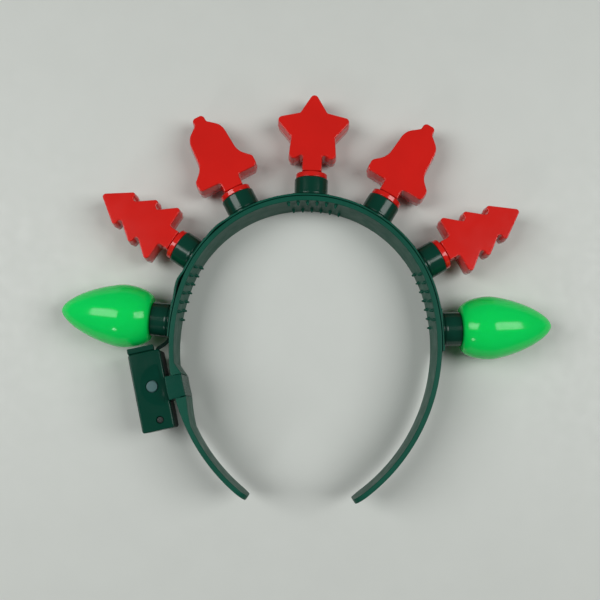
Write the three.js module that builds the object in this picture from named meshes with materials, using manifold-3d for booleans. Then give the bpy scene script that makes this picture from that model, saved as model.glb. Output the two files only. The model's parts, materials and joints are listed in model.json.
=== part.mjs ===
// A light-up festive headband, lying on a table: a springy plastic hoop that carries five red
// shapes and two big green bulbs in lamp sockets, with a battery case on one arm.
// Millimetres and degrees. The hoop is drawn in its own plane, X across and Y towards the crown,
// and the whole thing is tipped at the end until it rests on its two bulbs and its front.
import * as THREE from "three";
import { mergeVertices } from "three/addons/utils/BufferGeometryUtils.js";
import Module from "manifold-3d";

// The hoop: a round crown that runs on into two flatter arms
const CROWN_R = 64.4; // inner radius over the crown
const CROWN_SPAN = 72.2; // angle from the middle to where each arm starts
const ARM_R = 92.4; // inner radius along each arm
const TIP_ANGLE = 145.5; // angle of the outward normal at each tip
const BAND_W = 24.5;
const BAND_T = 2.5;
const TIP_ROUND = 7; // corner radius of the tips, seen from outside
const BAND_EDGE = 0.45; // chamfer along the band's edges
const CLEAR = 0.3; // air between pieces that touch

// The strip that covers the wires on the outside of the band
const COVER_T = 1.1;
const COVER_TAIL = 1.6; // angle that the strip runs on past its last seat on the right
const SEAT_RISE = -0.4; // flat seat under each socket, cut into the strip's face
const SEAT_MARGIN = 0.25; // seat beyond the socket's foot
const BOW_LONG = 1.1; // how far the strip bows off the band between the outer lamps on the left
const BOW_SHORT = 0.5;

// The lamps: seven sockets at an even pitch, the outer two on the arms
const LAMP_PITCH = 29.5;
const LAMP_SHIFT = 0.3; // how far the five on the crown sit towards the right
const BULB_SEAT = 83.9;
const BULB_LEAN = 2.3; // how much further out each bulb points than its seat
const SOCKET_D = 17.5;
const SOCKET_H = 10.1;
const FOOT_D = 17.9;
const FOOT_H = 2.4;
const FOOT_GROOVE = 0.35;
const NECK_D = 12.4; // neck of a bulb or shape, inside its socket
const NECK_L = 5;
const SOCKET_EDGE = 0.5;

// The bulbs
const BULB_D = 32.5;
const BULB_L = 46.7; // from the socket's rim to the tip
const BULB_BELLY = 0.32; // share of the length from the socket to the widest place
const BULB_BASE = 0.66; // radius at the socket as a share of the widest
const BULB_BASE_ROOT = 0.6;
const BULB_TIP_POWER = 1.4;
const BULB_TIP_ROOT = 0.6;
const BULB_WALL = 1.3;

// The red shapes: hollow, in two drafted halves
const SHAPE_H = 43.5;
const SHAPE_W = 34;
const SHAPE_D = 14.5;
const SHAPE_DRAFT = 0.45;
const SHAPE_EDGE = 0.7;
const SHAPE_WALL = 1.7;
const COLLAR_D = 16.4;
const COLLAR_L = 2.6;
const WIRE_BORE_D = 7;

// Grip teeth on the inner face, in two staggered rows
const TOOTH_D = 2.2;
const TOOTH_H = 1.9;
const TEETH_FRONT = 8.8; // the two rows' places across the band
const TEETH_BACK = -6.6;
const TOOTH_PITCH = 4.9;
const TEETH_TOP = 1.2; // along the inner face from its middle to the front row's middle on top
const TEETH_BESIDE = 83.5; // and to the middle of each group at the sides
const TOOTH_SINK = 0.3;

// The battery case and the loop that holds it on the left arm
const CASE_W = 16.2;
const CASE_L = 39.8;
const CASE_D = 16.5;
const CASE_TOP = 9; // the lid's face above the hoop's middle plane
const CASE_WALL = 1.5;
const CASE_CORNER = 1.3;
const LID_T = 2;
const LID_EDGE = 0.7;
const LOOP_PAST = 24.75; // along the arm from the strip's end to the loop's middle
const LOOP_L = 11.2;
const LOOP_WALL = 1.2;
const LOOP_INNER_WALL = 2.8;
const LOOP_STANDOFF = 1.7; // from the loop's outer wall to the case
const BRIDGE_W = 12.6; // the part of the bridge that runs on into the case
const CASE_ABOVE = 20.55; // the case's top end above the loop's middle
const CASE_TURN = 0.42; // angle between the case and the loop
const STOP_ABOVE = 3.6; // angles that the two stops take beside the loop
const STOP_BELOW = 9.4;
const LIP_L = 3.1;
const LIP_W = 13.3;
const LIP_T = 3.4;
const LIP_GAP = 0.4;
const LIP_SINK = 0.6; // the lip's face below the lid's

// What sits in the lid
const RECESS_L = 21.4;
const RECESS_TIPS = 5.6; // the recess's two tips, across from the lid's middle line
const RECESS_IN = 0.9; // how far its sides bulge from the tips, towards the band and away
const RECESS_OUT = 11;
const RECESS_DEEP = 0.9;
const BUTTON_D = 5.6;
const BUTTON_FROM_END = 17.7; // from the lid's top end
const BUTTON_IN = 0.8;
const BUTTON_PROUD = 0.55; // above the recess's floor
const BUTTON_FLANGE_D = 8;
const BUTTON_FLANGE_T = 0.8;
const SCREW_FROM_END = 5; // from the lid's lower end
const SCREW_IN = 1.7;
const SCREW_D = 3.2;
const SCREW_HEAD_T = 0.6;
const SCREW_SUNK = 0.7; // the head below the lid's face
const SCREW_SHANK_D = 1.6;
const SCREW_L = 6;
const SLOT_W = 0.6;
const BOSS_D = 5;

// The twin lead from the case to the strip
const STRAND_D = 0.9;
const LEAD_Z = 5;
const LEAD_IN = 6.5; // the lead's place across the case's end
const LEAD_INSIDE = 2.4;
const LEAD_BEND_CASE = 1.2;
const LEAD_BEND_STRIP = 3;

const BAND_STEP = 6; // angle between sections along the hoop
const ROUND_SIDES = 16;

const wasm = await Module();
wasm.setup();

const rad = THREE.MathUtils.degToRad;

const colours = {
  band: { color: 0x0f3a2c, roughness: 0.45, metalness: 0 },
  socket: { color: 0x0c3f2b, roughness: 0.35, metalness: 0 },
  red: { color: 0xc21a14, roughness: 0.3, metalness: 0 },
  bulb: { color: 0x1fb352, roughness: 0.2, metalness: 0 },
  case: { color: 0x0b3628, roughness: 0.45, metalness: 0 },
  button: { color: 0x4d6c6d, roughness: 0.55, metalness: 0 },
  screw: { color: 0x3a3f3e, roughness: 0.4, metalness: 0.9 },
  lead: { color: 0x0a2a20, roughness: 0.5, metalness: 0 },
};

// Turns a closed geometry into a solid that can be cut and joined
function solid(geometry) {
  const bare = geometry.clone();
  bare.deleteAttribute("normal");
  bare.deleteAttribute("uv");
  const merged = mergeVertices(bare, 1e-4);
  const vertProperties = new Float32Array(merged.attributes.position.array);
  const triVerts = new Uint32Array(merged.index.array);
  return new wasm.Manifold(new wasm.Mesh({ numProp: 3, vertProperties, triVerts }));
}

function geometryOf(body) {
  const { vertProperties, triVerts } = body.getMesh();
  const geometry = new THREE.BufferGeometry();
  geometry.setAttribute("position", new THREE.BufferAttribute(new Float32Array(vertProperties), 3));
  geometry.setIndex(new THREE.BufferAttribute(new Uint32Array(triVerts), 1));
  const flat = geometry.toNonIndexed();
  flat.computeVertexNormals();
  return flat;
}

function piece(name, body, look) {
  const mesh = new THREE.Mesh(geometryOf(body), new THREE.MeshStandardMaterial(colours[look]));
  mesh.name = name;
  return mesh;
}

// Closed skin through rings of equal length, each ring counterclockwise as seen from its far end;
// the caps are fans unless their triangles are given
function loft(rings, caps) {
  const count = rings[0].length;
  const last = rings[rings.length - 1];
  const triangles = [];
  for (let i = 0; i + 1 < rings.length; i++) {
    for (let j = 0; j < count; j++) {
      const k = (j + 1) % count;
      triangles.push(rings[i][j], rings[i][k], rings[i + 1][k]);
      triangles.push(rings[i][j], rings[i + 1][k], rings[i + 1][j]);
    }
  }
  const fan = Array.from({ length: count - 2 }, (_, j) => [0, j + 1, j + 2]);
  for (const [a, b, c] of caps ?? fan) {
    triangles.push(rings[0][a], rings[0][c], rings[0][b]);
    triangles.push(last[a], last[b], last[c]);
  }
  return new THREE.BufferGeometry().setFromPoints(triangles);
}

// Centre and radius of the inner face where its outward normal stands at this angle
function arcAt(angle) {
  const side = Math.sign(angle);
  if (Math.abs(angle) <= CROWN_SPAN) return { x: 0, y: 0, r: CROWN_R };
  const shift = ARM_R - CROWN_R;
  const span = rad(CROWN_SPAN);
  return { x: -side * shift * Math.sin(span), y: -shift * Math.cos(span), r: ARM_R };
}

// The point at a height over the inner face
function onBand(angle, height) {
  const arc = arcAt(angle);
  const reach = arc.r + height;
  const x = arc.x + reach * Math.sin(rad(angle));
  const y = arc.y + reach * Math.cos(rad(angle));
  return new THREE.Vector2(x, y);
}

// The angle of the place on the inner face at a distance from its middle, and an angle's worth of arm
function angleAt(distance) {
  const crown = CROWN_R * rad(CROWN_SPAN);
  const past = Math.abs(distance) - crown;
  if (past <= 0) return THREE.MathUtils.radToDeg(distance / CROWN_R);
  return Math.sign(distance) * (CROWN_SPAN + armAngle(past));
}

const armAngle = (distance) => THREE.MathUtils.radToDeg(distance / ARM_R);

const outward = (angle) => new THREE.Vector2(Math.sin(rad(angle)), Math.cos(rad(angle)));

// Half the band's width, the same all along up to a tip with round corners
function halfWidth(angle) {
  const half = BAND_W / 2;
  const left = rad(TIP_ANGLE - Math.abs(angle)) * ARM_R;
  if (left >= TIP_ROUND) return half;
  return half - TIP_ROUND + Math.sqrt(TIP_ROUND ** 2 - (TIP_ROUND - left) ** 2);
}

// Angles from one end to the other at an even step, with some angles of its own
function stations(from, to, step, extra = []) {
  const count = Math.max(1, Math.round((to - from) / step));
  const list = extra.filter((angle) => angle > from && angle < to);
  for (let i = 0; i <= count; i++) list.push(from + ((to - from) * i) / count);
  list.sort((a, b) => a - b);
  return list.filter((angle, i) => i === 0 || angle - list[i - 1] > 1e-3);
}

// A solid strip that follows the hoop between two heights over its inner face
function ribbon(angles, low, high, half, edge) {
  const rings = angles.map((angle) => {
    const [a, b, h] = [low(angle), high(angle), half(angle)];
    const e = Math.min(edge, (b - a) * 0.45, h * 0.45);
    const section = [
      [a + e, -h],
      [b - e, -h],
      [b, e - h],
      [b, h - e],
      [b - e, h],
      [a + e, h],
      [a, h - e],
      [a, e - h],
    ];
    return section.map(([height, z]) => {
      const p = onBand(angle, height);
      return new THREE.Vector3(p.x, p.y, z);
    });
  });
  return solid(loft(rings));
}

// What an outline does at one of its corners: both edges' directions, half the angle between
// them, and whether the corner sticks out
function cornerAt(corners, i) {
  const before = corners[(i + corners.length - 1) % corners.length];
  const after = corners[(i + 1) % corners.length];
  const here = new THREE.Vector2(corners[i].x, corners[i].y);
  const back = new THREE.Vector2(before.x, before.y).sub(here).normalize();
  const on = new THREE.Vector2(after.x, after.y).sub(here).normalize();
  const half = Math.acos(THREE.MathUtils.clamp(back.dot(on), -1, 1)) / 2;
  const middle = back.clone().add(on).normalize();
  return { here, back, on, half, middle, convex: back.cross(on) < 0 };
}

// An outline, counterclockwise, with each corner rounded by an arc: corners as { x, y, round }
function roundedPoints(corners, arcStep) {
  return corners.flatMap(({ round }, i) => {
    const { here, back, half, middle, convex } = cornerAt(corners, i);
    const centre = here.clone().addScaledVector(middle, round / Math.sin(half));
    const start = here.clone().addScaledVector(back, round / Math.tan(half)).sub(centre);
    const turn = Math.PI - 2 * half;
    const steps = Math.max(1, Math.round(turn / rad(arcStep)));
    const swing = (convex ? turn : -turn) / steps;
    const swung = (k) => start.clone().rotateAround(new THREE.Vector2(0, 0), swing * k);
    return Array.from({ length: steps + 1 }, (_, k) => swung(k).add(centre));
  });
}

// The same corners moved in by a wall
function insetCorners(corners, wall) {
  return corners.map(({ round }, i) => {
    const { here, half, middle, convex } = cornerAt(corners, i);
    const moved = here.addScaledVector(middle, (wall / Math.sin(half)) * (convex ? 1 : -1));
    return { x: moved.x, y: moved.y, round: Math.max(0.3, convex ? round - wall : round + wall) };
  });
}

// The right half of an outline, given as shares, mirrored into a whole one
function mirrored(half, width, height) {
  const right = half.map((c) => ({ x: (c.x * width) / 2, y: c.y * height, round: c.round * height }));
  const onAxis = (c) => Math.abs(c.x) < 1e-9;
  const left = right.filter((c) => !onAxis(c)).reverse().map((c) => ({ ...c, x: -c.x }));
  return [...right, ...left];
}

// A solid through rounded outlines at rising heights: levels as { z, inset }
function stacked(corners, levels, arcStep = 36) {
  const rings = levels.map(({ z, inset }) =>
    roundedPoints(insetCorners(corners, inset), arcStep).map((p) => new THREE.Vector3(p.x, p.y, z)),
  );
  return solid(loft(rings, THREE.ShapeUtils.triangulateShape(rings[0], [])));
}

function box(w, l, d, x, y, z) {
  return solid(new THREE.BoxGeometry(w, l, d).translate(x, y, z));
}

// A round pin or hole along Z, between two heights
function roundZ(diameter, x, y, low, high, sides = ROUND_SIDES) {
  const geometry = new THREE.CylinderGeometry(diameter / 2, diameter / 2, high - low, sides);
  return solid(geometry.rotateX(Math.PI / 2).translate(x, y, (low + high) / 2));
}

function roundY(diameter, low, high, sides = ROUND_SIDES) {
  const geometry = new THREE.CylinderGeometry(diameter / 2, diameter / 2, high - low, sides);
  return solid(geometry.translate(0, (low + high) / 2, 0));
}

// The lamps from left to right: the angle of each seat, and which way the socket points from it
const lamps = [
  { name: "bulb_left", kind: "bulb", seat: -BULB_SEAT, aim: -BULB_SEAT - BULB_LEAN },
  { name: "tree_left", kind: "tree", seat: LAMP_SHIFT - 2 * LAMP_PITCH, aim: LAMP_SHIFT - 2 * LAMP_PITCH },
  { name: "bell_left", kind: "bell", seat: LAMP_SHIFT - LAMP_PITCH, aim: LAMP_SHIFT - LAMP_PITCH },
  { name: "star", kind: "star", seat: LAMP_SHIFT, aim: LAMP_SHIFT },
  { name: "bell_right", kind: "bell", seat: LAMP_SHIFT + LAMP_PITCH, aim: LAMP_SHIFT + LAMP_PITCH },
  { name: "tree_right", kind: "tree", seat: LAMP_SHIFT + 2 * LAMP_PITCH, aim: LAMP_SHIFT + 2 * LAMP_PITCH },
  { name: "bulb_right", kind: "bulb", seat: BULB_SEAT, aim: BULB_SEAT + BULB_LEAN },
];

const coverLow = BAND_T + CLEAR;
const coverHigh = coverLow + COVER_T;
const seatHeight = coverHigh + SEAT_RISE;

// Height over the inner face of the flat seat under a lamp, at an angle beside it
function seatPlane(lamp, angle) {
  const arc = arcAt(angle);
  const toSeat = onBand(lamp.seat, seatHeight).sub(new THREE.Vector2(arc.x, arc.y));
  return toSeat.dot(outward(lamp.aim)) / Math.cos(rad(angle - lamp.aim)) - arc.r;
}

function seatSpread(lamp) {
  const reach = arcAt(lamp.seat).r + seatHeight;
  return THREE.MathUtils.radToDeg(Math.asin((FOOT_D / 2 + SEAT_MARGIN) / reach));
}

const bulbLeft = lamps[0];
const bulbRight = lamps[lamps.length - 1];
const coverFrom = bulbLeft.seat - seatSpread(bulbLeft);
const coverTo = bulbRight.seat + seatSpread(bulbRight) + COVER_TAIL;

// Where the strip bows off the band: between which lamps, and how far
const bows = [
  { from: lamps[0], to: lamps[1], rise: BOW_LONG },
  { from: lamps[1], to: lamps[2], rise: BOW_SHORT },
];

function bowAt(angle) {
  for (const bow of bows) {
    const from = bow.from.seat + seatSpread(bow.from);
    const to = bow.to.seat - seatSpread(bow.to);
    if (angle > from && angle < to) return bow.rise * Math.sin((Math.PI * (angle - from)) / (to - from)) ** 2;
  }
  return 0;
}

function makeCover() {
  const edges = lamps.flatMap((lamp) => {
    const spread = seatSpread(lamp);
    const beside = spread + 0.12;
    return [lamp.seat - beside, lamp.seat - spread, lamp.seat + spread, lamp.seat + beside];
  });
  const high = (angle) => {
    const lamp = lamps.find((l) => Math.abs(angle - l.seat) <= seatSpread(l) + 1e-6);
    return lamp ? seatPlane(lamp, angle) : coverHigh + bowAt(angle);
  };
  const angles = stations(coverFrom, coverTo, BAND_STEP * 0.9, edges);
  return ribbon(angles, (angle) => coverLow + bowAt(angle), high, halfWidth, BAND_EDGE);
}

const loopAt = coverFrom - armAngle(LOOP_PAST);
const loopSpread = armAngle(LOOP_L / 2);
const clearSpread = armAngle(CLEAR);
const stopRise = CLEAR + LOOP_INNER_WALL;

// The two stops that trap the loop: the inner face ramps up to it, and falls more gently past it
function makeStops() {
  const upper = loopAt + loopSpread + clearSpread;
  const lower = loopAt - loopSpread - clearSpread;
  const high = () => BAND_T / 2;
  const half = (angle) => halfWidth(angle) - BAND_EDGE / 2;
  const rampUp = (angle) => -0.05 - stopRise * (1 - (angle - upper) / STOP_ABOVE);
  const rampDown = (angle) => -0.05 - stopRise * (1 - (lower - angle) / STOP_BELOW);
  const above = ribbon(stations(upper, upper + STOP_ABOVE, 2), rampUp, high, half, BAND_EDGE);
  const below = ribbon(stations(lower - STOP_BELOW, lower, 3.2), rampDown, high, half, BAND_EDGE);
  return above.add(below);
}

// The groups of teeth: how far along the inner face each row's middle is, and how many teeth it has
const toothRows = [
  { middle: -TEETH_BESIDE, count: 6, z: TEETH_FRONT },
  { middle: -TEETH_BESIDE, count: 7, z: TEETH_BACK },
  { middle: TEETH_TOP, count: 6, z: TEETH_FRONT },
  { middle: TEETH_TOP + TOOTH_PITCH / 2, count: 6, z: TEETH_BACK },
  { middle: TEETH_BESIDE, count: 6, z: TEETH_FRONT },
  { middle: TEETH_BESIDE, count: 7, z: TEETH_BACK },
];

function makeTooth(angle, z) {
  const cone = new THREE.ConeGeometry(TOOTH_D / 2, TOOTH_H + TOOTH_SINK, 5);
  const p = onBand(angle, TOOTH_SINK - (TOOTH_H + TOOTH_SINK) / 2);
  return solid(cone.rotateZ(Math.PI - rad(angle)).translate(p.x, p.y, z));
}

function makeBand() {
  const nearTip = [0.3, 1.4, 3.4, TIP_ROUND].map((mm) => TIP_ANGLE - armAngle(mm));
  const extra = [...nearTip, ...nearTip.map((angle) => -angle), CROWN_SPAN, -CROWN_SPAN];
  const angles = stations(-TIP_ANGLE, TIP_ANGLE, BAND_STEP, extra);
  let band = ribbon(angles, () => 0, () => BAND_T, halfWidth, BAND_EDGE).add(makeStops());
  for (const row of toothRows) {
    for (let i = 0; i < row.count; i++) {
      const angle = angleAt(row.middle + (i - (row.count - 1) / 2) * TOOTH_PITCH);
      band = band.add(makeTooth(angle, row.z));
    }
  }
  return band;
}

// A round body from a profile of radius and height that starts and ends on the axis
function turned(profile, sides = ROUND_SIDES) {
  return solid(new THREE.LatheGeometry(profile.map(([r, y]) => new THREE.Vector2(r, y)), sides));
}

// A lamp holder: a cup with a grooved foot, open at its rim for the neck of a bulb or a shape
function makeSocket() {
  const r = SOCKET_D / 2;
  const foot = FOOT_D / 2;
  const bore = NECK_D / 2 + CLEAR;
  const floor = SOCKET_H - NECK_L - CLEAR;
  return turned([
    [0, 0],
    [foot, 0],
    [foot, FOOT_H * 0.4],
    [foot - FOOT_GROOVE, FOOT_H * 0.52],
    [foot - FOOT_GROOVE * 0.3, FOOT_H],
    [r, FOOT_H + SOCKET_EDGE * 0.5],
    [r, SOCKET_H - SOCKET_EDGE],
    [r - SOCKET_EDGE, SOCKET_H],
    [bore, SOCKET_H],
    [bore, floor],
    [0, floor],
  ]);
}

// The bulb's radius at a share of its length from the socket
function bulbRadius(share, radius) {
  if (share < BULB_BELLY) {
    const u = (BULB_BELLY - share) / BULB_BELLY;
    return radius * (BULB_BASE + (1 - BULB_BASE) * (1 - u ** 2) ** BULB_BASE_ROOT);
  }
  const u = (share - BULB_BELLY) / (1 - BULB_BELLY);
  return radius * (1 - u ** BULB_TIP_POWER) ** BULB_TIP_ROOT;
}

// A blown bulb, hollow and open at its neck, standing on a socket's rim
function makeBulb() {
  const neck = NECK_D / 2;
  const shares = [0.03, 0.08, 0.16, 0.3, 0.45, 0.6, 0.73, 0.84, 0.925, 0.98];
  const outside = shares.map((s) => [bulbRadius(s, BULB_D / 2), SOCKET_H + CLEAR + s * BULB_L]);
  const inside = [0.93, 0.61, 0.32, 0.1].map((s) => [
    bulbRadius(s, BULB_D / 2) - BULB_WALL,
    SOCKET_H + CLEAR + BULB_WALL + s * (BULB_L - 2 * BULB_WALL),
  ]);
  const start = SOCKET_H - NECK_L;
  return turned([
    [neck - BULB_WALL, start],
    [neck, start],
    [neck, SOCKET_H + CLEAR],
    [bulbRadius(0, BULB_D / 2) - SOCKET_EDGE, SOCKET_H + CLEAR],
    ...outside,
    [0, SOCKET_H + CLEAR + BULB_L],
    [0, SOCKET_H + CLEAR + BULB_L - BULB_WALL],
    ...inside,
    [neck - BULB_WALL, SOCKET_H + CLEAR + BULB_WALL],
    [neck - BULB_WALL, start],
  ]);
}

// Right halves of the outlines, from the foot up: shares of half the width and of the height
const treeCorners = [
  { x: 0.34, y: 0, round: 0.02 },
  { x: 0.34, y: 0.125, round: 0.02 },
  { x: 1.08, y: 0.125, round: 0.05 },
  { x: 0.5, y: 0.4, round: 0.02 },
  { x: 0.9, y: 0.4, round: 0.045 },
  { x: 0.34, y: 0.68, round: 0.02 },
  { x: 0.7, y: 0.68, round: 0.042 },
  { x: 0, y: 1.06, round: 0.05 },
];
const bellCorners = [
  { x: 0.33, y: 0, round: 0.02 },
  { x: 0.33, y: 0.125, round: 0.025 },
  { x: 1, y: 0.125, round: 0.062 },
  { x: 1, y: 0.27, round: 0.062 },
  { x: 0.66, y: 0.4, round: 0.2 },
  { x: 0.6, y: 0.78, round: 0.2 },
  { x: 0.22, y: 0.905, round: 0.03 },
  { x: 0.22, y: 1, round: 0.058 },
];

// A star with fat arms on a short stem: outer and inner radius as shares of the height
const STAR_REACH = 0.515;
const STAR_WAIST = 0.56;
const STAR_ROUND = 0.062;
const STEM_HALF = 0.125;

function starCorners() {
  const centre = 1.02 - STAR_REACH;
  const inner = STAR_REACH * STAR_WAIST;
  const corners = [];
  const notchY = centre - inner * Math.cos(rad(STEM_HALF * 100));
  corners.push({ x: STEM_HALF, y: 0, round: 0.02 });
  corners.push({ x: STEM_HALF, y: notchY - 0.02, round: 0.02 });
  for (let i = 1; i < 10; i++) {
    const angle = rad(180 - i * 36);
    const outer = i % 2 === 1;
    const reach = outer ? STAR_REACH : inner;
    const round = outer ? STAR_ROUND : 0.03;
    corners.push({ x: Math.sin(angle) * reach, y: centre + Math.cos(angle) * reach, round });
  }
  corners.push({ x: -STEM_HALF, y: notchY - 0.02, round: 0.02 });
  corners.push({ x: -STEM_HALF, y: 0, round: 0.02 });
  return corners.map((c) => ({ x: c.x * SHAPE_H, y: c.y * SHAPE_H, round: c.round * SHAPE_H }));
}

const outlines = {
  tree: () => mirrored(treeCorners, SHAPE_W, SHAPE_H),
  bell: () => mirrored(bellCorners, SHAPE_W, SHAPE_H),
  star: starCorners,
};

// A red shape: drafted halves, eased face edges, a round collar, and a neck with a bore for the wires
function makeShape(kind) {
  const corners = outlines[kind]();
  const foot = SOCKET_H + CLEAR + COLLAR_L;
  const face = SHAPE_D / 2;
  const inside = face - SHAPE_WALL;
  const skin = [
    { z: -face, inset: SHAPE_DRAFT + SHAPE_EDGE * 0.7 },
    { z: SHAPE_EDGE - face, inset: SHAPE_DRAFT },
    { z: 0, inset: 0 },
    { z: face - SHAPE_EDGE, inset: SHAPE_DRAFT },
    { z: face, inset: SHAPE_DRAFT + SHAPE_EDGE * 0.7 },
  ];
  const room = [
    { z: -inside, inset: SHAPE_WALL },
    { z: inside, inset: SHAPE_WALL },
  ];
  const sink = 0.1;
  const body = stacked(corners, skin).translate([0, foot - sink, 0]);
  const collar = roundY(COLLAR_D, foot - COLLAR_L, foot);
  const neck = roundY(NECK_D, SOCKET_H - NECK_L, foot - 1);
  const bore = roundY(WIRE_BORE_D, SOCKET_H - NECK_L - 1, foot + SHAPE_WALL + 1, 8);
  const shell = body.add(collar).add(neck).subtract(bore);
  return shell.subtract(stacked(corners, room, 90).translate([0, foot - sink, 0]));
}

function makeLampTop(kind) {
  return kind === "bulb" ? makeBulb() : makeShape(kind);
}

// A group whose Y axis points out of the band at a lamp
function lampGroup(lamp) {
  const group = new THREE.Group();
  const seat = onBand(lamp.seat, seatHeight).addScaledVector(outward(lamp.aim), CLEAR);
  group.position.set(seat.x, seat.y, 0);
  group.rotation.z = -rad(lamp.aim);
  group.add(piece(`socket_${lamp.name}`, makeSocket(), "socket"));
  group.add(piece(lamp.name, makeLampTop(lamp.kind), lamp.kind === "bulb" ? "bulb" : "red"));
  return group;
}

// The battery case, drawn with X towards the band and Y towards its top end
const caseTilt = rad(-90 - loopAt - CASE_TURN);
const loopReach = BAND_T + CLEAR + LOOP_WALL + LOOP_STANDOFF;
const loopMiddle = onBand(loopAt, loopReach);
const caseCentre = new THREE.Vector2(-CASE_W / 2, CASE_ABOVE - CASE_L / 2)
  .rotateAround(new THREE.Vector2(0, 0), caseTilt)
  .add(loopMiddle);
const lidLow = CASE_TOP - LID_T;
const trayTop = lidLow - CLEAR;
const trayLow = CASE_TOP - CASE_D;

const oblong = (width, length, round) => [
  { x: width / 2, y: -length / 2, round },
  { x: width / 2, y: length / 2, round },
  { x: -width / 2, y: length / 2, round },
  { x: -width / 2, y: -length / 2, round },
];

// The loop round the band, with a shoulder up to the case and a solid bridge on into the tray
function makeLoop() {
  const side = CLEAR + LOOP_WALL;
  const angles = stations(loopAt - loopSpread, loopAt + loopSpread, 2);
  const through = stations(loopAt - loopSpread - 1, loopAt + loopSpread + 1, 2);
  const ringTop = BAND_T + side;
  const whole = (angle) => halfWidth(angle) + side;
  const ring = ribbon(angles, () => -stopRise, () => loopReach - CLEAR, whole, 0.6);
  const hole = ribbon(through, () => -CLEAR, () => BAND_T + CLEAR, (a) => halfWidth(a) + CLEAR, 0.3);
  const bridge = ribbon(angles, () => ringTop - 0.6, () => loopReach + 0.8, () => BRIDGE_W / 2, 0.2);
  return ring.subtract(hole).add(bridge);
}

const screwPlace = { x: SCREW_IN, y: SCREW_FROM_END - CASE_L / 2 };
const buttonPlace = { x: BUTTON_IN, y: CASE_L / 2 - BUTTON_FROM_END };

// The lip beyond the case's top end: a bar that rises past the lid's edge with a gap before it
function makeLip() {
  const x = (LIP_W - CASE_W) / 2;
  const top = CASE_TOP - LIP_SINK;
  const low = top - LIP_T;
  const end = CASE_L / 2 + LIP_L;
  const bar = box(LIP_W, LIP_L - LIP_GAP, LIP_T, x, end - (LIP_L - LIP_GAP) / 2, top - LIP_T / 2);
  const foot = box(LIP_W, LIP_L + 0.5, trayTop - low, x, end - (LIP_L + 0.5) / 2, (trayTop + low) / 2);
  return bar.add(foot);
}

function makeTray() {
  const floor = trayLow + CASE_WALL;
  const outside = [
    { z: trayLow, inset: LID_EDGE },
    { z: trayLow + LID_EDGE, inset: 0 },
    { z: trayTop, inset: 0 },
  ];
  const room = [
    { z: floor, inset: CASE_WALL },
    { z: trayTop + 1, inset: CASE_WALL },
  ];
  const corners = oblong(CASE_W, CASE_L, CASE_CORNER);
  const bore = SCREW_SHANK_D + 2 * CLEAR;
  const boreLow = CASE_TOP - SCREW_SUNK - SCREW_L - CLEAR;
  const slot = { w: 2 * STRAND_D + 2 * CLEAR, l: LEAD_INSIDE + 2 * CLEAR, d: STRAND_D + 2 * CLEAR };
  return stacked(corners, outside)
    .subtract(stacked(corners, room, 90))
    .add(roundZ(BOSS_D, screwPlace.x, screwPlace.y, floor - 0.5, trayTop, 12))
    .subtract(roundZ(bore, screwPlace.x, screwPlace.y, boreLow, trayTop + 1, 12))
    .add(makeLip())
    .subtract(box(slot.w, slot.l, slot.d, LEAD_IN, CASE_L / 2 + CLEAR - slot.l / 2, LEAD_Z));
}

// The case with its loop: the loop is drawn in the hoop's frame, so the tray is moved there first
function makeCase() {
  const turn = new THREE.Matrix4().makeRotationZ(caseTilt);
  const move = turn.setPosition(caseCentre.x, caseCentre.y, 0);
  const tray = geometryOf(makeTray()).applyMatrix4(move);
  const [w, l] = [CASE_W - 2 * CASE_WALL, CASE_L - 2 * CASE_WALL];
  const room = box(w, l, CASE_D, 0, 0, CASE_TOP - CASE_D / 2 + CASE_WALL);
  const roomThere = solid(geometryOf(room).applyMatrix4(move));
  return solid(tray).add(makeLoop().subtract(roomThere));
}

// The thumb recess round the button: two arcs between the same two tips
function makeRecess() {
  const side = (bulge, towards) => {
    const reach = (RECESS_L ** 2 / 4 + bulge ** 2) / (2 * bulge);
    const round = new THREE.CylinderGeometry(reach, reach, 2 * RECESS_DEEP, 64).rotateX(Math.PI / 2);
    const x = RECESS_TIPS + towards * (bulge - reach);
    return solid(round.translate(x, buttonPlace.y, CASE_TOP));
  };
  return side(RECESS_IN, 1).intersect(side(RECESS_OUT, -1));
}

function makeLid() {
  const levels = [
    { z: lidLow, inset: 0 },
    { z: CASE_TOP - LID_EDGE, inset: 0 },
    { z: CASE_TOP, inset: LID_EDGE },
  ];
  const hole = (diameter, at, low, sides) =>
    roundZ(diameter + 2 * CLEAR, at.x, at.y, low, CASE_TOP + 1, sides);
  return stacked(oblong(CASE_W, CASE_L, CASE_CORNER), levels)
    .subtract(makeRecess())
    .subtract(hole(BUTTON_D, buttonPlace, lidLow - 1, ROUND_SIDES))
    .subtract(hole(SCREW_D, screwPlace, CASE_TOP - SCREW_SUNK - SCREW_HEAD_T - CLEAR, ROUND_SIDES))
    .subtract(hole(SCREW_SHANK_D, screwPlace, lidLow - 1, 12));
}

function makeButton() {
  const top = CASE_TOP - RECESS_DEEP + BUTTON_PROUD;
  const under = lidLow - CLEAR;
  const cap = roundZ(BUTTON_D, buttonPlace.x, buttonPlace.y, under - BUTTON_FLANGE_T, top);
  const flange = roundZ(BUTTON_FLANGE_D, buttonPlace.x, buttonPlace.y, under - BUTTON_FLANGE_T, under);
  return cap.add(flange);
}

function makeScrew() {
  const top = CASE_TOP - SCREW_SUNK;
  const under = top - SCREW_HEAD_T;
  const head = roundZ(SCREW_D, screwPlace.x, screwPlace.y, under, top);
  const shank = roundZ(SCREW_SHANK_D, screwPlace.x, screwPlace.y, top - SCREW_L, under + 0.2, 12);
  const along = box(SLOT_W, SCREW_D * 0.7, SCREW_HEAD_T, screwPlace.x, screwPlace.y, top);
  const across = box(SCREW_D * 0.7, SLOT_W, SCREW_HEAD_T, screwPlace.x, screwPlace.y, top);
  return head.add(shank).subtract(along).subtract(across);
}

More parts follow.
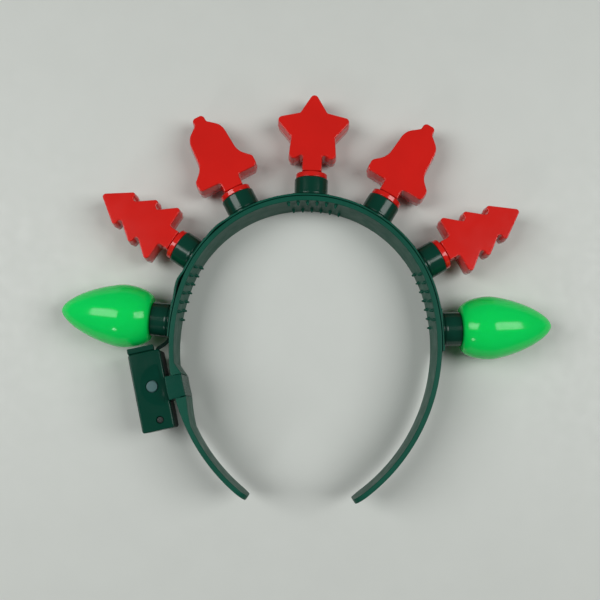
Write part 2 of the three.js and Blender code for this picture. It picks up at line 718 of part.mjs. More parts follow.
function caseGroup() {
  const group = new THREE.Group();
  group.position.set(caseCentre.x, caseCentre.y, 0);
  group.rotation.z = caseTilt;
  group.add(piece("battery_lid", makeLid(), "case"));
  group.add(piece("push_button", makeButton(), "button"));
  group.add(piece("lid_screw", makeScrew(), "screw"));
  return group;
}

// The twin lead: out of the case's end, and up to the end of the strip under the bulb's socket
function makeLead() {
  const turn = (x, y) => new THREE.Vector2(x, y).rotateAround(new THREE.Vector2(0, 0), caseTilt);
  const inside = turn(LEAD_IN, CASE_L / 2 - LEAD_INSIDE).add(caseCentre);
  const exit = turn(LEAD_IN, CASE_L / 2).add(caseCentre);
  const leave = turn(0, 1);
  const endAngle = coverFrom - clearSpread;
  const arrive = new THREE.Vector2(Math.cos(rad(endAngle)), -Math.sin(rad(endAngle)));
  const end = onBand(endAngle, coverLow + STRAND_D);
  const bend = new THREE.CubicBezierCurve(
    exit,
    exit.clone().addScaledVector(leave, LEAD_BEND_CASE),
    end.clone().addScaledVector(arrive, -LEAD_BEND_STRIP),
    end,
  );
  const stretch = [inside, ...bend.getPoints(8)];
  const rings = stretch.map((p, i) => {
    const before = stretch[Math.max(0, i - 1)];
    const after = stretch[Math.min(stretch.length - 1, i + 1)];
    const along = after.clone().sub(before).normalize();
    return leadSection().map(([u, w]) => new THREE.Vector3(p.x - along.y * u, p.y + along.x * u, LEAD_Z + w));
  });
  return solid(loft(rings));
}

// Two round strands side by side, as one outline with round ends
function leadSection() {
  const r = STRAND_D / 2;
  const points = [];
  for (let i = 0; i < 10; i++) {
    const a = -Math.PI / 2 + (i % 5) * (Math.PI / 4);
    if (i < 5) points.push([r + r * Math.cos(a), r * Math.sin(a)]);
    else points.push([-r - r * Math.cos(a), -r * Math.sin(a)]);
  }
  return points;
}

// The slope of the highest floor that passes under every point and carries the part at its middle
function restingSlope(points) {
  const middle = onBand(0, 0).y / 2;
  const under = (slope) => Math.min(...points.map((p) => p.z - slope * (p.y - middle)));
  let [low, high] = [-1, 1];
  for (let i = 0; i < 60; i++) {
    const a = low + (high - low) / 3;
    const b = high - (high - low) / 3;
    if (under(a) < under(b)) low = a;
    else high = b;
  }
  return (low + high) / 2;
}

function pointsOf(group) {
  const points = [];
  group.updateMatrixWorld(true);
  group.traverse((mesh) => {
    if (!mesh.isMesh) return;
    const place = mesh.geometry.attributes.position;
    for (let i = 0; i < place.count; i++) {
      points.push(new THREE.Vector3().fromBufferAttribute(place, i).applyMatrix4(mesh.matrixWorld));
    }
  });
  return points;
}

const hoop = new THREE.Group();
hoop.add(piece("headband", makeBand(), "band"));
hoop.add(piece("wire_cover", makeCover(), "band"));
for (const lamp of lamps) hoop.add(lampGroup(lamp));
hoop.add(piece("battery_case", makeCase(), "case"));
hoop.add(caseGroup());
hoop.add(piece("battery_lead", makeLead(), "lead"));

// Tipped onto its bulbs and its front, then stood on the floor over the origin
hoop.rotation.x = -Math.atan(restingSlope(pointsOf(hoop)));
const bounds = new THREE.Box3().setFromPoints(pointsOf(hoop));
const middle = bounds.getCenter(new THREE.Vector3());
hoop.position.set(-middle.x, -middle.y, -bounds.min.z);

const headband = new THREE.Group();
headband.add(hoop);

export default headband;
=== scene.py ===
# %% [markdown]
# # A light-up festive headband
# The real thing is a springy green plastic hoop. Outside it runs a strip that hides the wires,
# and on the strip stand seven lamp sockets: five hold hollow red shapes, two hold big green bulbs.
# A battery case hangs on one arm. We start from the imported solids, which give every place and
# size, and then build a finer skin for each of them, because faceted solids catch the light badly.

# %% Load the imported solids
import bmesh
import bpy
import json
import math
from mathutils import Matrix, Vector


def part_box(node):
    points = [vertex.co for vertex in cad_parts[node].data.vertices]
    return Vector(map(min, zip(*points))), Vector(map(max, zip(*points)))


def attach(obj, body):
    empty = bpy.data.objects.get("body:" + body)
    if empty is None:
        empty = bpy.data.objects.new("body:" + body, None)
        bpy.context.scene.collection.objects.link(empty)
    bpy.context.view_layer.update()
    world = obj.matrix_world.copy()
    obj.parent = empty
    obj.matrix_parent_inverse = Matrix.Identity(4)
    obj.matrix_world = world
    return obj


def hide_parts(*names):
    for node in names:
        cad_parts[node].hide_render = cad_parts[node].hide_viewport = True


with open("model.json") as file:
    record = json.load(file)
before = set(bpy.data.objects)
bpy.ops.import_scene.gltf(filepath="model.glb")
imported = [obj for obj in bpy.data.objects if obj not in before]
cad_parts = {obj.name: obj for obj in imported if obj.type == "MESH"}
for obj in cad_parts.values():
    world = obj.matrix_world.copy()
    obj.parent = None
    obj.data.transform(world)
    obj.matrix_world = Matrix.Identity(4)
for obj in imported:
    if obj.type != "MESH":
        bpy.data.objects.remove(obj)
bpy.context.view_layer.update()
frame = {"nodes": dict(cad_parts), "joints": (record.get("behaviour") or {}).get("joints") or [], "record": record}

print("solids:", sorted(frame["nodes"]))

# %% [markdown]
# ## The hoop's own plane
# A moulder draws this hoop flat: X across, Y towards the crown, Z along its width. On the table it
# lies tipped by a few degrees, on its two bulbs and the strip's edge over the crown. So we draw
# every piece in the flat plane, in millimetres, and carry it over with one matrix. The packed
# record gives the tipped plane: the seat of the head is its crown, and the button slides along
# its Z.

# %% The matrix from the hoop's plane to the table
crown_inside = 64.4
seat_of_head = frame["record"]["mounts"][0]
lift = Vector(frame["joints"][0]["axis"])
tilt = Matrix((
    (1, 0, 0),
    (0, lift.z, lift.y),
    (0, -lift.y, lift.z),
)).to_4x4()
to_metres = Matrix.Scale(0.001, 4)
crown_to_middle = Matrix.Translation((0, -crown_inside, 0))
hoop = Matrix.Translation(Vector(seat_of_head["pos_m"])) @ tilt @ to_metres @ crown_to_middle
as_drawn = Matrix.Identity(4)
print("hoop's middle, in metres:", hoop @ Vector((0, 0, 0)))

# %% [markdown]
# ## The line of the hoop
# Seen from the front the hoop is a horseshoe: a round crown that fits the head, and two flatter
# arms that press behind the ears. Two arcs that share a tangent draw it. A place on the hoop is
# then one angle and one height over the inner face, and everything else is measured from there.

# %% Sizes of the hoop, in millimetres and degrees
crown_span = 72.2
arm_inside = 92.4
tip_angle = 145.5
band_width = 24.5
band_thick = 2.5
tip_round = 7.0
soft_edge = 0.45
gap = 0.3
strip_thick = 1.1


def arc_at(angle):
    """Centre and radius of the inner face at an angle."""
    if abs(angle) <= crown_span:
        return 0.0, 0.0, crown_inside
    shift = arm_inside - crown_inside
    span = math.radians(crown_span)
    side = math.copysign(1, angle)
    return -side * shift * math.sin(span), -shift * math.cos(span), arm_inside


def on_band(angle, height):
    """The place at an angle and a height over the inner face."""
    x, y, reach = arc_at(angle)
    turn = math.radians(angle)
    return Vector((x + (reach + height) * math.sin(turn), y + (reach + height) * math.cos(turn)))


def outward(angle):
    """The direction straight out of the band at an angle."""
    return Vector((math.sin(math.radians(angle)), math.cos(math.radians(angle))))


def arm_angle(distance):
    """How many degrees a distance along the arm takes."""
    return math.degrees(distance / arm_inside)


def angle_at(distance):
    """The angle of a place at a distance along the inner face from its middle."""
    crown = crown_inside * math.radians(crown_span)
    past = abs(distance) - crown
    if past <= 0:
        return math.degrees(distance / crown_inside)
    return math.copysign(crown_span + arm_angle(past), distance)


def half_width(angle):
    """Half the band's width, with the tips rounded off."""
    half = band_width / 2
    left = math.radians(tip_angle - abs(angle)) * arm_inside
    if left >= tip_round:
        return half
    return half - tip_round + math.sqrt(tip_round ** 2 - (tip_round - left) ** 2)


def stations(first, last, step, extra=()):
    """Angles from one end to the other at an even step, with some of their own."""
    count = max(1, round((last - first) / step))
    angles = [first + (last - first) * i / count for i in range(count + 1)]
    angles += [angle for angle in extra if first < angle < last]
    angles.sort()
    return [a for i, a in enumerate(angles) if i == 0 or a - angles[i - 1] > 1e-4]


print("crown to tip, mm:", (on_band(0, 0) - on_band(tip_angle, 0)).length)

# %% [markdown]
# ## Skins
# Nearly every piece of moulded plastic is one of two things: a section that travels along a line,
# or a profile that turns round an axis. So two helpers make almost all the skins here, a loft
# through rings of points and a lathe. A skin is just a list of points and a list of faces.

# %% Lofts and lathes


def loft(rings, caps=(True, True)):
    """A skin through rings of equal length, closed at either end by a cap."""
    count = len(rings[0])
    points = [Vector(p) for ring in rings for p in ring]
    faces = []
    for i in range(len(rings) - 1):
        for j in range(count):
            k = (j + 1) % count
            faces.append((i * count + j, i * count + k, (i + 1) * count + k, (i + 1) * count + j))
    last = (len(rings) - 1) * count
    if caps[0]:
        faces.append(tuple(range(count - 1, -1, -1)))
    if caps[1]:
        faces.append(tuple(range(last, last + count)))
    return points, faces


def lathe(profile, sides=64):
    """A skin round the Y axis from pairs of radius and height, from axis to axis."""
    points, rows = [], []
    for radius, height in profile:
        start = len(points)
        if radius < 1e-6:
            points.append(Vector((0, height, 0)))
            rows.append([start] * sides)
            continue
        for i in range(sides):
            turn = math.tau * i / sides
            points.append(Vector((radius * math.cos(turn), height, radius * math.sin(turn))))
        rows.append(list(range(start, start + sides)))
    faces = []
    for low, high in zip(rows, rows[1:]):
        for j in range(sides):
            k = (j + 1) % sides
            corners = dict.fromkeys((low[j], low[k], high[k], high[j]))
            if len(corners) > 2:
                faces.append(tuple(corners))
    return points, faces


def upright(skin):
    """The same skin with its Y axis turned to Z."""
    return [Vector((p.x, -p.z, p.y)) for p in skin[0]], skin[1]


def moved(skin, x=0.0, y=0.0):
    """The same skin in another place."""
    return [p + Vector((x, y, 0)) for p in skin[0]], skin[1]


def together(skins):
    """Several skins as one."""
    points, faces = [], []
    for more_points, more_faces in skins:
        start = len(points)
        points += more_points
        faces += [tuple(start + i for i in face) for face in more_faces]
    return points, faces


print("faces of a plain tube:", len(lathe([(1, 0), (1, 1)])[1]))

# %% [markdown]
# ### Round corners
# No moulded edge is sharp. One helper rounds the corners of a profile before it goes on the
# lathe. The others give a flat strip's section with round corners and repeat it along the hoop.
# Close to a strip's ends the section shrinks a little, so that the ends are eased too.

# %% Profiles and sections


def eased(corners, steps=4):
    """An open outline with its corners rounded: corners as (x, y, how far the curve reaches)."""
    line = [Vector(corners[0][:2])]
    for before, here, after in zip(corners, corners[1:], corners[2:]):
        at = Vector(here[:2])
        if not here[2]:
            line.append(at)
            continue
        back, on = Vector(before[:2]) - at, Vector(after[:2]) - at
        start = at + back.normalized() * min(here[2], back.length * 0.49)
        end = at + on.normalized() * min(here[2], on.length * 0.49)
        for k in range(steps + 1):
            t = k / steps
            line.append(start * (1 - t) ** 2 + at * 2 * t * (1 - t) + end * t ** 2)
    line.append(Vector(corners[-1][:2]))
    return line


def strip_section(low, high, half, edge):
    """A strip's section with round corners, as pairs of height and Z."""
    steps = 4
    edge = min(edge, (high - low) * 0.45, half * 0.45)
    quarters = [
        (high - edge, half - edge, 0),
        (low + edge, half - edge, 90),
        (low + edge, edge - half, 180),
        (high - edge, edge - half, 270),
    ]
    section = []
    for height, z, start in quarters:
        for k in range(steps + 1):
            turn = math.radians(start + 90 * k / steps)
            section.append((height + edge * math.cos(turn), z + edge * math.sin(turn)))
    return section


def strip_rings(angles, low, high, half, edge, ends=0.0):
    """Rings of a strip along the hoop; its two ends are rounded over a distance."""
    rings = []
    for angle in angles:
        reach = arc_at(angle)[2]
        left = math.radians(min(angle - angles[0], angles[-1] - angle)) * reach
        pinch = ends - math.sqrt(max(0.0, ends ** 2 - max(0.0, ends - left) ** 2))
        section = strip_section(low(angle) + pinch, high(angle) - pinch, half(angle) - pinch, edge)
        rings.append([(*on_band(angle, height), z) for height, z in section])
    return rings


def end_stations(first, last, reach, ends):
    """Extra angles close to both ends, where the rounding needs them."""
    near = [math.degrees(ends * share / reach) for share in (0.02, 0.1, 0.25, 0.5, 0.75, 1)]
    return [first + a for a in near] + [last - a for a in near]


print("points in a strip's section:", len(strip_section(0, band_thick, band_width / 2, soft_edge)))

# %% [markdown]
# ## From a skin to a piece
# A skin becomes a mesh, moves onto the table, and gets its shading: smooth over curves, sharp
# where two faces meet at a real edge. Weighted normals keep the big flat faces flat right up to
# their rounded edges, which is what makes a highlight run as a thin clean line along an edge.
# Each piece then hides the solid it stands for, hangs on the body it moves with, and takes its finish.

# %% Make a piece


def mesh_of(name, skin, place=as_drawn):
    """A mesh with all its faces looking outwards."""
    mesh = bpy.data.meshes.new(name)
    mesh.from_pydata(skin[0], [], skin[1])
    mesh.transform(place)
    shell = bmesh.new()
    shell.from_mesh(mesh)
    bmesh.ops.recalc_face_normals(shell, faces=shell.faces)
    shell.to_mesh(mesh)
    shell.free()
    return mesh


def show(name, skin, place, material, node, body="headband", sharp=38):
    """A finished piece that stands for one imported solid, or for a part of it."""
    mesh = mesh_of(name, skin, hoop @ place)
    mesh.shade_smooth()
    mesh.set_sharp_from_angle(angle=math.radians(sharp))
    mesh.materials.append(materials[material])
    thing = bpy.data.objects.new(name, mesh)
    bpy.context.scene.collection.objects.link(thing)
    thing.modifiers.new("even shading", "WEIGHTED_NORMAL").keep_sharp = True
    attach(thing, body)
    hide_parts(node)
    low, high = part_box(node)
    ours = [thing.matrix_world @ v.co for v in mesh.vertices]
    off = max(
        max(abs(min(p[i] for p in ours) - low[i]), abs(max(p[i] for p in ours) - high[i]))
        for i in range(3)
    )
    print(f"{name}: {len(mesh.polygons)} faces, {off * 1000:.2f} mm off its solid's box")
    return thing


def carved(skin, cutters):
    """The skin with other closed skins cut out of it."""
    block = bpy.data.objects.new("block", mesh_of("block", skin))
    bpy.context.scene.collection.objects.link(block)
    tools = []
    for cutter in cutters:
        tool = bpy.data.objects.new("cutter", mesh_of("cutter", cutter))
        bpy.context.scene.collection.objects.link(tool)
        tools.append(tool)
        cut = block.modifiers.new("cut", "BOOLEAN")
        cut.operation = "DIFFERENCE"
        cut.solver = "EXACT"
        cut.object = tool
    result = block.evaluated_get(bpy.context.evaluated_depsgraph_get()).to_mesh()
    points = [v.co.copy() for v in result.vertices]
    faces = [tuple(face.vertices) for face in result.polygons]
    for thing in [block, *tools]:
        bpy.data.objects.remove(thing)
    return points, faces


# %% [markdown]
# ## Plastics
# Nearly all of this headband is moulded plastic with a polished skin, but no moulding is quite
# even: the colour drifts a little where the melt cooled slowly, the shine varies with handling,
# and the surface has a fine orange-peel. Three noises give just that, each at its own size, and
# small enough that they show as life in the highlights rather than as a pattern.
# The battery case has a shiny lid, but its sides hardly reflect the pale table. So its shine
# follows how far a face looks up. A little light also scatters inside the bulbs.

# %% The finishes
colour_scale, shine_scale, peel_scale = 45, 160, 520
peel_distance = 0.001
glow_radius = (0.3, 1.0, 0.5)
glow_scale = 0.004
wall_below, top_above = 0.05, 0.45


def plastic(name, colour, rough, shine=0.5, drift=0.10, peel=0.02, metallic=0.0, glow=0.0,
            walls=None):
    """A moulded finish; walls is the shine of upright faces, where it differs from the top."""
    finish = bpy.data.materials.new(name)
    finish.use_nodes = True
    nodes, link = finish.node_tree.nodes, finish.node_tree.links.new
    shader = nodes["Principled BSDF"]
    place = nodes.new("ShaderNodeTexCoord").outputs["Object"]

    def noise(scale, detail):
        node = nodes.new("ShaderNodeTexNoise")
        node.inputs["Scale"].default_value = scale
        node.inputs["Detail"].default_value = detail
        link(place, node.inputs["Vector"])
        return node.outputs["Fac"]

    def spread(value, low, high):
        node = nodes.new("ShaderNodeMapRange")
        node.inputs["From Min"].default_value = 0.3
        node.inputs["From Max"].default_value = 0.7
        node.inputs["To Min"].default_value = low
        node.inputs["To Max"].default_value = high
        link(value, node.inputs["Value"])
        return node.outputs["Result"]

    mix = nodes.new("ShaderNodeMix")
    mix.data_type = "RGBA"
    mix.inputs["A"].default_value = (*[c * (1 - drift) for c in colour], 1)
    mix.inputs["B"].default_value = (*[min(1, c * (1 + drift)) for c in colour], 1)
    link(spread(noise(colour_scale, 3), 0, 1), mix.inputs["Factor"])
    link(mix.outputs["Result"], shader.inputs["Base Color"])
    shine_drift = spread(noise(shine_scale, 5), rough * 0.85, rough * 1.2)
    link(shine_drift, shader.inputs["Roughness"])
    bump = nodes.new("ShaderNodeBump")
    bump.inputs["Strength"].default_value = peel
    bump.inputs["Distance"].default_value = peel_distance
    link(noise(peel_scale, 2), bump.inputs["Height"])
    link(bump.outputs["Normal"], shader.inputs["Normal"])
    shader.inputs["Metallic"].default_value = metallic
    shader.inputs["Specular IOR Level"].default_value = shine
    if walls is not None:
        parts = nodes.new("ShaderNodeSeparateXYZ")
        link(nodes["Texture Coordinate"].outputs["Normal"], parts.inputs["Vector"])
        upward = nodes.new("ShaderNodeMapRange")
        upward.inputs["From Min"].default_value = wall_below
        upward.inputs["From Max"].default_value = top_above
        upward.inputs["To Min"].default_value = walls
        upward.inputs["To Max"].default_value = shine
        link(parts.outputs["Z"], upward.inputs["Value"])
        link(upward.outputs["Result"], shader.inputs["Specular IOR Level"])
    if glow:
        shader.inputs["Subsurface Weight"].default_value = glow
        shader.inputs["Subsurface Radius"].default_value = glow_radius
        shader.inputs["Subsurface Scale"].default_value = glow_scale
    return finish


materials = {
    "band": plastic("green_band", (0.006, 0.075, 0.048), 0.36, 0.10),
    "socket": plastic("green_socket", (0.003, 0.042, 0.026), 0.15, 0.3),
    "red_shape": plastic("glossy_red", (0.62, 0.012, 0.008), 0.13, drift=0.05),
    "bulb": plastic("glowing_green", (0.003, 0.70, 0.11), 0.12, 0.3,
                    drift=0.04, peel=0.01, glow=0.35),
    "case": plastic("green_case", (0.002, 0.040, 0.025), 0.12, 0.22, walls=0.001),
    # the loop is the case's plastic, its green painted lighter: painted light for the light on its inner face
    "loop": plastic("green_loop_painted_lighter", (0.003, 0.052, 0.034), 0.25, 0.08),
    "button": plastic("grey_button", (0.050, 0.120, 0.120), 0.42, 0.3),
    "screw": plastic("steel_screw", (0.035, 0.040, 0.038), 0.42, metallic=0.9),
    "lead": plastic("green_lead", (0.004, 0.020, 0.014), 0.5, 0.1),
}
print("finishes:", sorted(materials))

# %% [markdown]
# ## The lamps' places
# Seven lamps share one table: where each seat is along the hoop, and which way its socket points.
# The five on the crown stand straight out at an even pitch. The outer two sit on the arms, and
# lean a little further down than the hoop does there. Seats and leans are in degrees.

# %% Where the lamps stand
lamp_pitch = 29.5
lamp_shift = 0.3
bulb_seat = 83.9
bulb_lean = 2.3
foot_across = 17.9
seat_margin = 0.25
seat_rise = -0.4
strip_low = band_thick + gap
strip_high = strip_low + strip_thick
seat_height = strip_high + seat_rise
lamps = [
    {"name": "bulb_left", "kind": "bulb", "seat": -bulb_seat, "aim": -bulb_seat - bulb_lean},
    {"name": "tree_left", "kind": "tree", "seat": lamp_shift - 2 * lamp_pitch},
    {"name": "bell_left", "kind": "bell", "seat": lamp_shift - lamp_pitch},
    {"name": "star", "kind": "star", "seat": lamp_shift},
    {"name": "bell_right", "kind": "bell", "seat": lamp_shift + lamp_pitch},
    {"name": "tree_right", "kind": "tree", "seat": lamp_shift + 2 * lamp_pitch},
    {"name": "bulb_right", "kind": "bulb", "seat": bulb_seat, "aim": bulb_seat + bulb_lean},
]
for lamp in lamps:
    lamp.setdefault("aim", lamp["seat"])
    reach = arc_at(lamp["seat"])[2] + seat_height
    lamp["spread"] = math.degrees(math.asin((foot_across / 2 + seat_margin) / reach))
    stand = on_band(lamp["seat"], seat_height) + outward(lamp["aim"]) * gap
    turn = Matrix.Rotation(-math.radians(lamp["aim"]), 4, "Z")
    lamp["place"] = Matrix.Translation((*stand, 0)) @ turn
    print(lamp["name"], "seat", lamp["seat"], "spread", round(lamp["spread"], 2))

# %% [markdown]
# ## The band
# The band is one springy moulding, as wide and as thick near its round tips as over the crown. On
# the left arm two ramps stand out of the inner face and trap the loop of the battery case between
# them. One loft does all of that if its lower height follows the angle. The ramps' lengths are in
# degrees, all other lengths in millimetres.

# %% Build the band
lamp_left, lamp_right = lamps[0], lamps[-1]
strip_from = lamp_left["seat"] - lamp_left["spread"]
strip_past_foot = 1.6
strip_to = lamp_right["seat"] + lamp_right["spread"] + strip_past_foot
loop_past_strip = 24.75
loop_half_long = 5.6
loop_inner_wall = 2.8
loop_at = strip_from - arm_angle(loop_past_strip)
loop_spread = arm_angle(loop_half_long)
clear_spread = arm_angle(gap)
stop_rise = gap + loop_inner_wall
stop_upper = loop_at + loop_spread + clear_spread
stop_lower = loop_at - loop_spread - clear_spread
stop_above = 3.6
stop_below = 9.4


def band_low(angle):
    """Height of the inner face, below zero where the two stops stand out of it."""
    if stop_upper <= angle <= stop_upper + stop_above:
        return -stop_rise * (1 - (angle - stop_upper) / stop_above)
    if stop_lower - stop_below <= angle <= stop_lower:
        return -stop_rise * (1 - (stop_lower - angle) / stop_below)
    return 0.0


tip_rings = 12
just_past = 0.01
tip_steps = [tip_round * (k / tip_rings) ** 2 for k in range(1, tip_rings + 1)]
tips = [tip_angle - arm_angle(mm) for mm in tip_steps]
stops = [stop_upper - just_past, stop_upper, stop_upper + stop_above]
stops += [stop_lower, stop_lower + just_past, stop_lower - stop_below]
extra = tips + [-a for a in tips] + stops
extra += end_stations(-tip_angle, tip_angle, arm_inside, soft_edge)
angles = stations(-tip_angle, tip_angle, 1.2, extra)
rings = strip_rings(angles, band_low, lambda a: band_thick, half_width, soft_edge, soft_edge)
band = loft(rings)
print("band: rings", len(rings), "loop at", round(loop_at, 1), "degrees")

# %% [markdown]
# ### The grip teeth
# Three groups of small blunt spikes hold the hair: one on top and one at each temple, each in
# two staggered rows. They are moulded with the band, so they are one piece with it. The table
# gives each row's middle along the inner face, its place across the band and its count.

# %% Build the teeth
tooth_pitch = 4.9
temple, top = 83.5, 1.2
front, back = 8.8, -6.6
tooth_profile = [
    (0, 0.3),
    (1.2, 0.3),
    (1.1, 0.02),
    (0.96, -0.13),
    (0.42, -1.68),
    (0.24, -1.85),
    (0, -1.9),
]
tooth_rows = [
    (-temple, front, 6),
    (-temple, back, 7),
    (top, front, 6),
    (top + tooth_pitch / 2, back, 6),
    (temple, front, 6),
    (temple, back, 7),
]
teeth = []
for middle, z, count in tooth_rows:
    for i in range(count):
        angle = angle_at(middle + (i - (count - 1) / 2) * tooth_pitch)
        points, faces = lathe(tooth_profile, 16)
        turn = Matrix.Rotation(-math.radians(angle), 4, "Z")
        stand = Matrix.Translation((*on_band(angle, 0), z)) @ turn
        teeth.append(([stand @ p for p in points], faces))
print("teeth:", len(teeth))
show("band_skin", together([band, *teeth]), as_drawn, "band", "headband")

# %% [markdown]
# ## The strip over the wires
# A second, thinner moulding snaps onto the outside of the band and hides the wires between the
# lamps. Under each socket a flat seat is cut into it. On the left it bows slightly off the band,
# as such a thin strip does once the wires push from below.

# %% Build the strip
bows = [
    {"between": (lamps[0], lamps[1]), "rise": 1.1},
    {"between": (lamps[1], lamps[2]), "rise": 0.5},
]


def bow_at(angle):
    """How far the strip stands off the band at an angle."""
    for bow in bows:
        left, right = bow["between"]
        first, last = left["seat"] + left["spread"], right["seat"] - right["spread"]
        if first < angle < last:
            return bow["rise"] * math.sin(math.pi * (angle - first) / (last - first)) ** 2
    return 0.0


def seat_plane(lamp, angle):
    """Height of the flat seat at an angle beside its middle."""
    x, y, reach = arc_at(angle)
    to_seat = on_band(lamp["seat"], seat_height) - Vector((x, y))
    return to_seat.dot(outward(lamp["aim"])) / math.cos(math.radians(angle - lamp["aim"])) - reach


def strip_top(angle):
    """Height of the strip's outer face, flat under each socket."""
    for lamp in lamps:
        if abs(angle - lamp["seat"]) <= lamp["spread"] + 1e-6:
            return seat_plane(lamp, angle)
    return strip_high + bow_at(angle)


strip_edge, strip_end = 0.4, 0.3
edges = []
for lamp in lamps:
    for side in (-1, 1):
        edges += [lamp["seat"] + side * (lamp["spread"] + beside) for beside in (0, 0.12)]
edges += end_stations(strip_from, strip_to, arm_inside, strip_end)
angles = stations(strip_from, strip_to, 1.0, edges)
rings = strip_rings(angles, lambda a: strip_low + bow_at(a), strip_top, half_width,
                    strip_edge, strip_end)
show("strip_skin", loft(rings), as_drawn, "band", "wire_cover")

# %% [markdown]
# ## The sockets
# Each lamp stands in a short cup that copies the brass cap of an old filament bulb. It has a
# slightly wider foot with a shadow groove, straight walls and a small round at the rim.

# %% Build the sockets
socket_across = 17.5
socket_high = 10.1
foot_high = 2.4
foot_groove = 0.5
foot_ledge = 0.14
neck_across = 12.4
neck_long = 5.0
socket_round = 0.5
wall, foot, bore = socket_across / 2, foot_across / 2, neck_across / 2 + gap
cup_floor = socket_high - neck_long - gap
socket_line = eased([
    (0, 0, 0),
    (foot, 0, 0.15),
    (foot, foot_high * 0.38, 0.2),
    (foot - foot_groove, foot_high * 0.5, 0.15),
    (foot - foot_ledge, foot_high * 0.64, 0.2),
    (foot - foot_ledge, foot_high, 0.3),
    (wall, foot_high + 0.25, 0.25),
    (wall, socket_high, socket_round),
    (bore, socket_high, 0.2),
    (bore, cup_floor, 0),
    (0, cup_floor, 0),
])
for lamp in lamps:
    name = f"socket_{lamp['name']}"
    show(f"{name}_skin", lathe(socket_line), lamp["place"], "socket", name)

# %% [markdown]
# ## The bulbs
# The big bulbs are of green plastic that lets some light through. They are widest a third of the
# way up, then drawn out to a blunt tip. Below the belly the wall curves in to a flat end just
# over the socket's rim, and above it a power curve runs almost straight to the tip. They are
# hollow, so the profile runs up the outside and down again inside. A neck goes into the socket.

# %% Build the bulbs
bulb_across = 32.5
bulb_long = 46.7
belly = 0.32
bulb_wall = 1.3
base_share, base_root = 0.66, 0.6
tip_power, tip_root = 1.4, 0.6
rim_height = socket_high + gap


def bulb_radius(share):
    """The bulb's radius at a share of its length."""
    if share < belly:
        u = (belly - share) / belly
        return bulb_across / 2 * (base_share + (1 - base_share) * (1 - u ** 2) ** base_root)
    u = (share - belly) / (1 - belly)
    return bulb_across / 2 * (1 - u ** tip_power) ** tip_root


neck = neck_across / 2
outside, inside = [], []
first, last = 0.004, 0.9995
count = 56
for i in range(count):
    share = first + (last - first) * (1 - math.cos(math.pi * (i / (count - 1)))) / 2
    outside.append((bulb_radius(share), rim_height + share * bulb_long))
for i in range(24):
    share = 0.93 - 0.83 * i / 23
    height = rim_height + bulb_wall + share * (bulb_long - 2 * bulb_wall)
    inside.append((bulb_radius(share) - bulb_wall, height))
neck_low = socket_high - neck_long
bulb_line = [
    (neck - bulb_wall, neck_low),
    (neck, neck_low),
    (neck, rim_height),
    (bulb_radius(0) - 0.5, rim_height),
    *outside,
    (0, rim_height + bulb_long),
    (0, rim_height + bulb_long - bulb_wall),
    *inside,
    (neck - bulb_wall, rim_height + bulb_wall),
    (neck - bulb_wall, neck_low),
]
for lamp in lamps:
    if lamp["kind"] == "bulb":
        show(f"{lamp['name']}_skin", lathe(bulb_line, 96), lamp["place"], "bulb", lamp["name"])

# %% [markdown]
# ## The red shapes
# Each red shape is two drafted halves glued along a middle seam: a flat glossy face, an eased
# edge, sides that lean out towards the seam, and a round collar above the socket. First we need
# outlines: a short table of corners, each with its own rounding, and a stack of that outline
# moved in a little more at each level. That is how an eased edge keeps its width all round.

# %% Outlines with round corners


def corner_at(corners, i):
    """A corner, the way back, half its angle, its middle line, and whether it points out."""
    before, at, after = (Vector(corners[(i + k) % len(corners)][:2]) for k in (-1, 0, 1))
    back, on = (before - at).normalized(), (after - at).normalized()
    half = math.acos(max(-1.0, min(1.0, back.dot(on)))) / 2
    convex = back.x * on.y - back.y * on.x < 0
    return at, back, half, (back + on).normalized(), convex


def rounded_outline(corners, arc_step=7):
    """An outline, counterclockwise, with each corner rounded by an arc: (x, y, round)."""
    line = []
    for i, (_, _, soft) in enumerate(corners):
        at, back, half, middle, convex = corner_at(corners, i)
        centre = at + middle * (soft / math.sin(half))
        start = at + back * (soft / math.tan(half)) - centre
        turn = math.pi - 2 * half
        count = max(1, round(turn / math.radians(arc_step)))
        swing = (turn if convex else -turn) / count
        for k in range(count + 1):
            c, s = math.cos(swing * k), math.sin(swing * k)
            line.append(centre + Vector((start.x * c - start.y * s, start.x * s + start.y * c)))
    return line


def inset(corners, by):
    """The same corners moved in."""
    result = []
    for i, (_, _, soft) in enumerate(corners):
        at, _, half, middle, convex = corner_at(corners, i)
        side = 1 if convex else -1
        at = at + middle * (by / math.sin(half) * side)
        result.append((at.x, at.y, max(0.3, soft - side * by)))
    return result


def stack(corners, levels, arc_step=7):
    """A skin through an outline at several levels: (z, how far moved in)."""
    rings = [[(*p, z) for p in rounded_outline(inset(corners, by), arc_step)] for z, by in levels]
    return loft(rings)


def mirrored(half, width, height):
    """A whole outline from its right half, given in shares."""
    right = [(x * width / 2, y * height, soft * height) for x, y, soft in half]
    left = [(-x, y, soft) for x, y, soft in reversed(right) if abs(x) > 1e-9]
    return right + left


square = [(1, -1, 0.2), (1, 1, 0.2), (-1, 1, 0.2), (-1, -1, 0.2)]
print("points in a square with round corners:", len(rounded_outline(square)))

# %% [markdown]
# ### Three shapes
# Two trees, two bells and a star, all about equally high. The tree and the bell are mirrored from
# their right halves, given in shares of the width and the height. The star is worked out from
# its two radii. Each one stands on a collar, and a neck goes from the collar into the socket.

